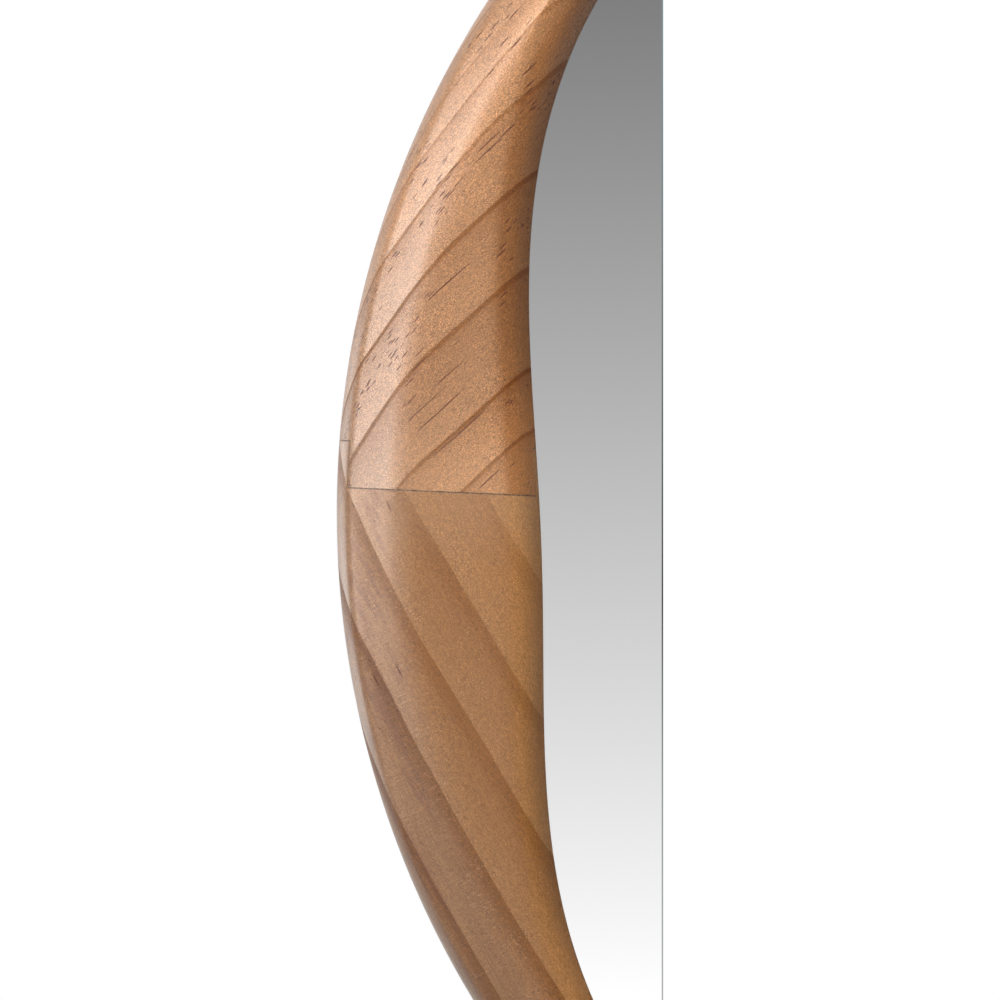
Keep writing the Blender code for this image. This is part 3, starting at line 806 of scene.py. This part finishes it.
THIN_LINES = [(0.0, 1.0), (0.045, 1.0), (0.08, 0.50), (0.34, 0.25), (0.62, 0.10), (0.95, 0.0),
              (0.985, 0.1), (1.0, 1.0)]
BROAD_BANDS = [(0.0, 0.66), (0.12, 0.60), (0.28, 0.34), (0.60, 0.12), (0.93, 0.0), (0.98, 0.0), (1.0, 0.66)]
RINGS_UPPER = [-62, -56, -50, -44.5, -39.3, -34.2, -28.7, -25.0, -19.3, -12.1, -4.4, 4.7, 10.4, 16.5, 23]
RINGS_LOWER = [-72, -65, -58, -51.5, -45, -38, -31, -23.5, -15.0, -6.9, 0.6, 8.1, 15.8, 22.8, 30]
RINGS_HANDLE = [-40, -34, -28, -22.5, -17, -12, -7, -2, 3, 8.5, 14, 19, 25, 31, 38]
RESIN_UPPER = [(-62, 0), (-51, 0), (-48, 0.4), (-44, 0), (-33, 0), (-30, 0.3), (-24, 0.15), (-19, 0.2),
               (-18.4, 0.9), (-17.4, 0.9), (-16.8, 0.1), (-9.8, 0.1), (-9.2, 1), (-7.8, 1), (-7.2, 0.1),
               (-1.4, 0.1), (-0.6, 0.7), (0.2, 0.1), (5.4, 0.1), (6.2, 0.7), (7, 0.1), (23, 0.1)]
RESIN_FEW = [(-72, 0.0), (-41, 0.05), (-39.5, 0.3), (-38, 0.0), (-20, 0.0), (0, 0.01), (20, 0.0), (38, 0.1)]
pines = {}
# the upper left quarter: painted shade on its rounding at the opening and on its facet
pines["upper_left"] = pine(
    "pine_upper_left", LEFT_JOINT, radians(42.5), -1.05, RINGS_UPPER,
    [0.6, 0.6, 0.5, 0.6, 0.5, 0.5, 0.4, 0.6, 0.75, 0.9, 0.85, 1.0, 0.95, 0.7, 0.6], THIN_LINES, RESIN_UPPER,
    tones=[0.5] * 6 + [0.53, 0.60, 0.56, 0.5, 0.46, 0.5, 0.58, 0.60, 0.56], opening_light_and_shade=(0.78, 0.66, 0.48))
# the lower left quarter: painted light on its rounding at the opening
pines["lower_left"] = pine(
    "pine_lower_left", LEFT_JOINT, radians(-59), 0.55, RINGS_LOWER,
    [0.5, 0.6, 0.6, 0.7, 0.6, 0.5, 0.5, 0.6, 0.7, 1.0, 1.15, 1.35, 1.35, 1.1, 0.8], BROAD_BANDS, RESIN_FEW,
    tones=[0.5] * 8 + [0.57, 0.53, 0.50, 0.47, 0.52, 0.53, 0.53], early=GOLDEN_TONE, late=BAND_TONE,
    tone=0.77, rough_grain=0.6, hairs=0.6, gloss=0.6, opening_light_and_shade=(1.20, 1.22, 1.20), facet_streaks=0.60,
    facet_painted_shade=0.0, seed=4.3)
pines["upper_right"] = pine(
    "pine_upper_right", RIGHT_JOINT, radians(-48), -0.8, RINGS_UPPER, [0.8] * 15, THIN_LINES,
    RESIN_UPPER, tone=0.95, seed=7.7)
pines["lower_right"] = pine(
    "pine_lower_right", RIGHT_JOINT, radians(230), 0.6, RINGS_LOWER, [0.9] * 15, BROAD_BANDS,
    RESIN_FEW, tone=0.88, rough_grain=0.6, facet_streaks=0.8, facet_painted_shade=0.0, seed=11.9)
pines["handle"] = pine(
    "pine_handle", [0, FRONT_Y, HANDLE_TOP], radians(89), 0.5, RINGS_HANDLE, [0.8] * 15,
    BROAD_BANDS, RESIN_FEW, tone=0.88, rough_grain=0.7, fibre_and_sheen_share=0.3, seed=15.1)
for side, piece in quarters.items():
    dress(piece, pines[side])
dress(handle, pines["handle"])
print("pine:", len(pines["upper_left"].node_tree.nodes), "nodes each")


# %% [markdown]
# ## Glue, beech, foam and plywood
# The hidden pieces get plain finishes: mottled glue, beech with short flecks, and bubbly foam. The
# board is rotary-cut birch, whose skin shows long pale flames, because the knife follows the
# rings round the log, and whose edge shows its plies.

# %% Glue, beech, foam and plywood
def plain_glue():
    shader = Shader("wood_glue")
    mottle = shader.noise(shader.place(), 2500.0, 3.0)
    colour = shader.mix(mottle.rise(0.35, 0.65), (0.13, 0.075, 0.045), (0.27, 0.18, 0.12))
    return shader.finish(Base_Color=colour, Roughness=0.55 + mottle * 0.2)


def plain_beech():
    shader = Shader("beech")
    x, y, z = shader.axes()
    streak = shader.noise((x * 3, y * 3, z * 0.2), detail=3.0)
    fleck = shader.cells((x * 2, y * 2, z * 0.4)).rise(0.05, 0.2, 1.0, 0.0)
    colour = shader.mix(streak, (0.62, 0.42, 0.25), (0.48, 0.30, 0.17))
    colour = shader.mix(fleck * 0.5, colour, (0.30, 0.17, 0.09))
    return shader.finish(Base_Color=colour, Roughness=0.5 + streak * 0.2,
                         Normal=shader.bump(streak, 0.00005))


def closed_cell_foam():
    shader = Shader("foam_sheet")
    bubbles = shader.cells(shader.place(), 1800.0)
    colour = shader.mix(bubbles.rise(0.0, 0.6), (0.70, 0.70, 0.67), (0.86, 0.86, 0.84))
    return shader.finish(Base_Color=colour, Roughness=0.75 + bubbles * 0.2,
                         Normal=shader.bump(bubbles, 0.0001))


PLY = 0.94                   # mm from one veneer to the next


def birch_plywood():
    """Flames are bands of the distance across the board, warped by a long, slow noise."""
    shader = Shader("birch_plywood")
    x, y, z = shader.axes()
    warp = shader.noise((x * 0.028, y * 0.01, z * 0.007), detail=3.0)
    flame = ((x * 0.055 + warp * 7.0).fraction() - 0.5).size() * 2
    fibre = shader.noise((x * 5.0, y * 5.0, z * 0.22), detail=3.0, rough=0.65)
    pore = shader.noise((x * 9.0, y * 9.0, z * 0.7), detail=1.0).rise(0.60, 0.74)
    colour = shader.mix(flame.rise(0.1, 1.0) * 0.75, (0.70, 0.53, 0.35), (0.56, 0.38, 0.22))
    colour = shader.mix(fibre.rise(0.3, 0.8) * 0.5, colour, (0.74, 0.58, 0.40))
    colour = shader.mix(pore * 0.5, colour, (0.34, 0.21, 0.12))
    layers = (y / PLY).fraction().rise(0.42, 0.50)
    edge = 1 - shader.facing((0, 1, 0)).size().rise(0.5, 0.8)
    colour = shader.mix(edge * layers * 0.6, colour, (0.36, 0.22, 0.12))
    return shader.finish(Base_Color=colour, Roughness=0.52 + fibre * 0.2,
                         Normal=shader.bump(fibre * 0.6 - pore, 0.00006))


glue = plain_glue()
for film in glue_films:
    dress(film, glue)
beech = plain_beech()
for node in ("dowel_left", "dowel_right"):
    dress(frame["nodes"][node], beech)
dress(frame["nodes"]["foam_pad"], closed_cell_foam())
dress(board, birch_plywood())
print("plain finishes: glue, beech, foam and plywood")

# %% [markdown]
# ## Metal, rubber and glass
# Sheet brass shows the fine lines of its rolling. The screws' zinc is bluish and slightly cloudy.
# The mirror is almost perfectly smooth; only faint dust and wiping marks change its gloss, and
# its edge shows the green of thick glass.

# %% Metal, rubber and glass
def rolled_brass():
    shader = Shader("rolled_brass")
    x, y, z = shader.axes()
    lines = shader.noise((x * 14, y * 14, z * 0.8))
    cloud = shader.noise(shader.place(), 160.0, 3.0)
    colour = shader.mix(cloud.rise(0.35, 0.7), (0.78, 0.58, 0.29), (0.66, 0.46, 0.20))
    colour = shader.mix(lines.rise(0.62, 0.8) * 0.4, colour, (0.42, 0.27, 0.12))
    return shader.finish(Base_Color=colour, Metallic=1.0, Roughness=0.24 + lines * 0.16 + cloud * 0.10,
                         Normal=shader.bump(lines, 0.00001, 0.6))


def plated_zinc():
    shader = Shader("plated_zinc")
    place = shader.place()
    cloud = shader.noise(place, 900.0, 3.0)
    scratch = shader.noise(place, 4200.0)
    colour = shader.mix(cloud.rise(0.3, 0.7), (0.66, 0.68, 0.71), (0.52, 0.53, 0.55))
    return shader.finish(Base_Color=colour, Metallic=1.0, Roughness=0.26 + scratch * 0.2,
                         Normal=shader.bump(scratch, 0.00001, 0.6))


def moulded_rubber():
    shader = Shader("moulded_rubber")
    place = shader.place()
    grain = shader.noise(place, 5200.0)
    dust = shader.noise(place, 350.0, 4.0, 0.65)
    colour = shader.mix(dust.rise(0.45, 0.8) * 0.5, (0.022, 0.022, 0.024), (0.085, 0.082, 0.078))
    return shader.finish(Base_Color=colour, Roughness=0.55 + grain * 0.25 + dust * 0.1,
                         Normal=shader.bump(grain, 0.00003, 0.7))


def silvered_glass():
    """Metallic where it is silvered, with the ground edge a pale green. Dust only dulls it a little."""
    shader = Shader("silvered_glass")
    place = shader.place()
    front = shader.facing((0, -1, 0)).rise(0.90, 0.98)
    wiped = shader.noise([shader.along(direction, place, scale) for direction, scale in
                          (((1, 0, 0.4), 60), ((0, 1, 0), 60), ((-0.4, 0, 1), 14))], detail=3.0)
    specks = shader.cells(place, 420.0).rise(0.02, 0.05, 1.0, 0.0)
    colour = shader.mix(front, (0.42, 0.58, 0.52), (0.985, 0.987, 0.986))
    colour = shader.mix(specks * 0.05, colour, (0.80, 0.80, 0.79))
    rough = (1 - front) * 0.35 + front * (wiped.rise(0.55, 0.9) * 0.004 + specks * 0.02)
    return shader.finish(Base_Color=colour, Metallic=front, Roughness=rough)


for pieces, material in ((buttons, rolled_brass()), (screws, plated_zinc()), (bumpers, moulded_rubber()),
                         ([glass], silvered_glass())):
    for piece in pieces:
        dress(piece, material)
    print(material.name, "on", len(pieces), "pieces")

# %% [markdown]
# ## Camera
# The view is square on to the left side of the rim and shows 120 mm of it, through a long lens so
# that the rounded edges are not pulled out of shape.

# %% Camera
LENS, SENSOR = 200.0, 36.0
VIEW_WIDTH = 0.120
VIEW_X = RIM_RADIUS - 0.01964
VIEW_Z = RIM_Z + 0.00144
camera_y = (FRONT_Y + 0.0075) - VIEW_WIDTH * LENS / SENSOR
camera_data = bpy.data.cameras.new("camera")
camera_data.lens, camera_data.sensor_width = LENS, SENSOR
camera_data.clip_start, camera_data.clip_end = 0.01, 30.0
camera = link_object("camera", camera_data)
camera.location = (-VIEW_X, camera_y, VIEW_Z)
camera.rotation_euler = (pi / 2, 0, 0)
bpy.context.scene.camera = camera
print("camera stands", round(-camera_y, 3), "m in front")

# %% [markdown]
# ## What the mirror sees
# A mirror shows its surroundings, so those are staged. A graded card stands behind the camera,
# grey above and white below, with a thin frame on its right edge, and a large white screen behind
# it. A ray from the camera reaches the card after the way to the glass and back, and that sets
# the card's place.

# %% Cards
GLASS_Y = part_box("mirror_glass")[0][1]
CARD_Y = camera_y - 0.05
TO_CARD = (GLASS_Y - camera_y) + (GLASS_Y - CARD_Y)
SPAN = SENSOR / LENS * TO_CARD               # what the view's width takes in, at the card
CARD_EDGE = -VIEW_X + 0.1632 * SPAN          # the card ends right of the view's middle
FRAME_WIDTH = 0.0015 * SPAN
CARD_HALF_HEIGHT = 0.35
TOP_GREY = 0.498                             # as the eye sees it, where white is 1
CARD_GAIN = 1.02
GRADES = 12


def make_card(name, x_low, x_high, half_height, y, material):
    """An upright sheet, seen in reflections only."""
    points = np.array([[(x_low, y, z), (x_high, y, z)] for z in (VIEW_Z - half_height, VIEW_Z + half_height)])
    card = add_piece(name, mesh_from_grid(name, points, wrap_columns=False, caps=False))
    card.visible_camera = card.visible_diffuse = card.visible_shadow = False
    card.visible_transmission = False
    dress(card, material)
    print(name, "is", round(x_high - x_low, 4), "m wide")


def direct_share(shader):
    """1 for a ray straight from the glass, 0.15 for one that has bounced off wood on its way."""
    diffuse = shader.node("LightPath", output="Diffuse Depth")
    glossy = shader.node("LightPath", output="Glossy Depth")
    return 1 - (diffuse + (glossy - 1).at_least(0.0)).at_most(1.0) * 0.85


def glow(name, make_colour):
    """A card's own light: a colour worked out from x and z in metres."""
    shader = Shader(name)
    x, y, z = shader.axes(1.0)
    return shader.show(shader.node("Emission", None, {"Color": make_colour(shader, x, z),
                                                      "Strength": direct_share(shader)}))


def to_linear(value):
    """The light that looks as bright as this value between black and white."""
    return value / 12.92 if value < 0.04045 else ((value + 0.055) / 1.055) ** 2.4


def up_the_card(shader, z, stops):
    """Colours by height, over the part of the card that the view takes in."""
    return shader.ramp((z - (VIEW_Z - SPAN / 2)) / SPAN, stops)


def graded(shader, x, z):
    """White at the bottom to mid grey at the top, in steps that are even to the eye."""
    return up_the_card(shader, z, [(share, to_linear(1 - (1 - TOP_GREY) * share) * CARD_GAIN)
                                   for share in np.linspace(0, 1, GRADES + 1)])


def card_frame(shader, x, z):
    return up_the_card(shader, z, [(0.0, (0.42, 0.43, 0.43)), (0.2, (0.30, 0.32, 0.32)),
                                   (0.4, (0.05, 0.055, 0.055)), (0.7, (0.16, 0.19, 0.19)),
                                   (1.0, (0.22, 0.29, 0.30))])


def screen(shader, x, z):
    """White over the middle, fading a little far to the right and left."""
    away = (x - 0.07).rise(0.0, 0.30) * 0.9 + (-0.3 - x).rise(0.0, 0.9) * 0.4
    return shader.mix(away, (1.03, 1.03, 1.03), (0.06, 0.06, 0.06))


make_card("graded_card", -VIEW_X - 0.25, CARD_EDGE - FRAME_WIDTH, CARD_HALF_HEIGHT, CARD_Y,
          glow("graded_card", graded))
make_card("card_frame", CARD_EDGE - FRAME_WIDTH, CARD_EDGE, CARD_HALF_HEIGHT, CARD_Y,
          glow("card_frame", card_frame))
make_card("white_screen", -2.0, 2.0, 2.0, CARD_Y - 0.02, glow("white_screen", screen))

# %% [markdown]
# ## Floor, surroundings and lamps
# The floor is a pale disc that fades into the white surroundings. The surroundings are white
# behind the mirror and to its left, and dim in front on the right, which keeps the inside edge
# of the rim dark. The key stands high in front on the left and the fill higher on the right, and
# neither shows as gloss. Two lamps show as gloss only: a sheen box low on the left, for the shine
# on the facet, and an edge light behind the left side, for the bright outer strip. One more lamp
# lights the back.

# %% Floor
def pale_floor():
    shader = Shader("pale_floor")
    x, y, z = shader.axes(1.0)
    far = (x * x + y * y).rise(0.1, 2.0)
    matte = shader.node("BsdfDiffuse", None, {"Color": (0.86, 0.86, 0.855, 1.0)})
    white = shader.node("Emission")
    return shader.show(shader.node("MixShader", None, {0: far * 0.6 + 0.4, 1: matte, 2: white}))


floor_ring = np.stack([np.cos(round_turn(96)), np.sin(round_turn(96)), np.zeros(96)], -1)
floor_points = np.stack([floor_ring * reach for reach in (0.0002, 1.0, 2.1)]) + [0, 0, CAD_BOX[0][2]]
floor = add_piece("floor", mesh_from_grid("floor", floor_points, caps=False))
dress(floor, pale_floor())
floor.visible_diffuse = False
print("floor at z", round(CAD_BOX[0][2], 4))

# %% Surroundings
world = bpy.data.worlds.new("studio")
bpy.context.scene.world = world
studio = Shader("studio", world)
looking = studio.node("TexCoord", output="Generated")
right, front = studio.along((1, 0, 0), looking, 1.0), studio.along((0, -1, 0), looking, 1.0)
level = 1 - front.rise(-0.90, -0.35) * right.rise(-0.30, 0.20) * 0.94
seen = studio.node("LightPath", output="Is Camera Ray")
level = level * direct_share(studio) * (1 - seen) + seen
studio.show(studio.node("Background", None, {"Color": (1.0, 1.0, 1.0, 1.0), "Strength": level}),
            "OutputWorld")
print("surroundings:", len(world.node_tree.nodes), "nodes")


# %% Lamps
def softbox(name, place, target, width, height, power):
    """A rectangle of light at a place in metres, turned to its target, with its power in watts."""
    data = bpy.data.lights.new(name, 'AREA')
    data.shape, data.size, data.size_y, data.energy = 'RECTANGLE', width, height, power
    lamp = link_object(name, data)
    lamp.location = place
    direction = np.array(target) - np.array(place)
    lamp.rotation_euler = (acos(-direction[2] / np.linalg.norm(direction)), 0,
                           atan2(direction[1], direction[0]) - pi / 2)
    lamp.visible_camera = False
    return lamp


def gloss_only(lamp):
    """A lamp that shows as sheen on the wood, and is not thrown back by the glass as a beam."""
    lamp.visible_diffuse = False
    shader = Shader(lamp.name, lamp.data)
    bounced = shader.node("LightPath", output="Diffuse Depth").at_most(1.0)
    shader.show(shader.node("Emission", None, {"Strength": 1 - bounced}), "OutputLight")


rim_left, rim_middle = np.array([-RIM_RADIUS, 0, RIM_Z]), np.array([0, 0, RIM_Z])
key = softbox("key", rim_left + (-0.36, -0.84, 0.80), rim_left, 0.5, 0.5, 17.0)
sheen = softbox("sheen", rim_left + (-0.75, -0.61, 0.19), rim_left, 0.40, 0.70, 12.8)
top_fill = softbox("top_fill", rim_left + (0.75, -0.55, 1.45), rim_left, 0.6, 0.6, 15.0)
edge_light = softbox("edge_light", rim_left + (-0.78, 0.60, -0.15), rim_left, 0.5, 0.7, 3.4)
back_light = softbox("back_light", rim_middle + (0.50, 1.10, 0.60), rim_middle, 0.9, 0.9, 12.0)
for lamp in (key, top_fill):
    lamp.visible_glossy = False
for lamp in (sheen, edge_light):
    gloss_only(lamp)
for lamp in (key, sheen, top_fill, edge_light, back_light):
    print(lamp.name, lamp.data.energy, "W")

bpy.context.scene.view_settings.view_transform = 'Standard'
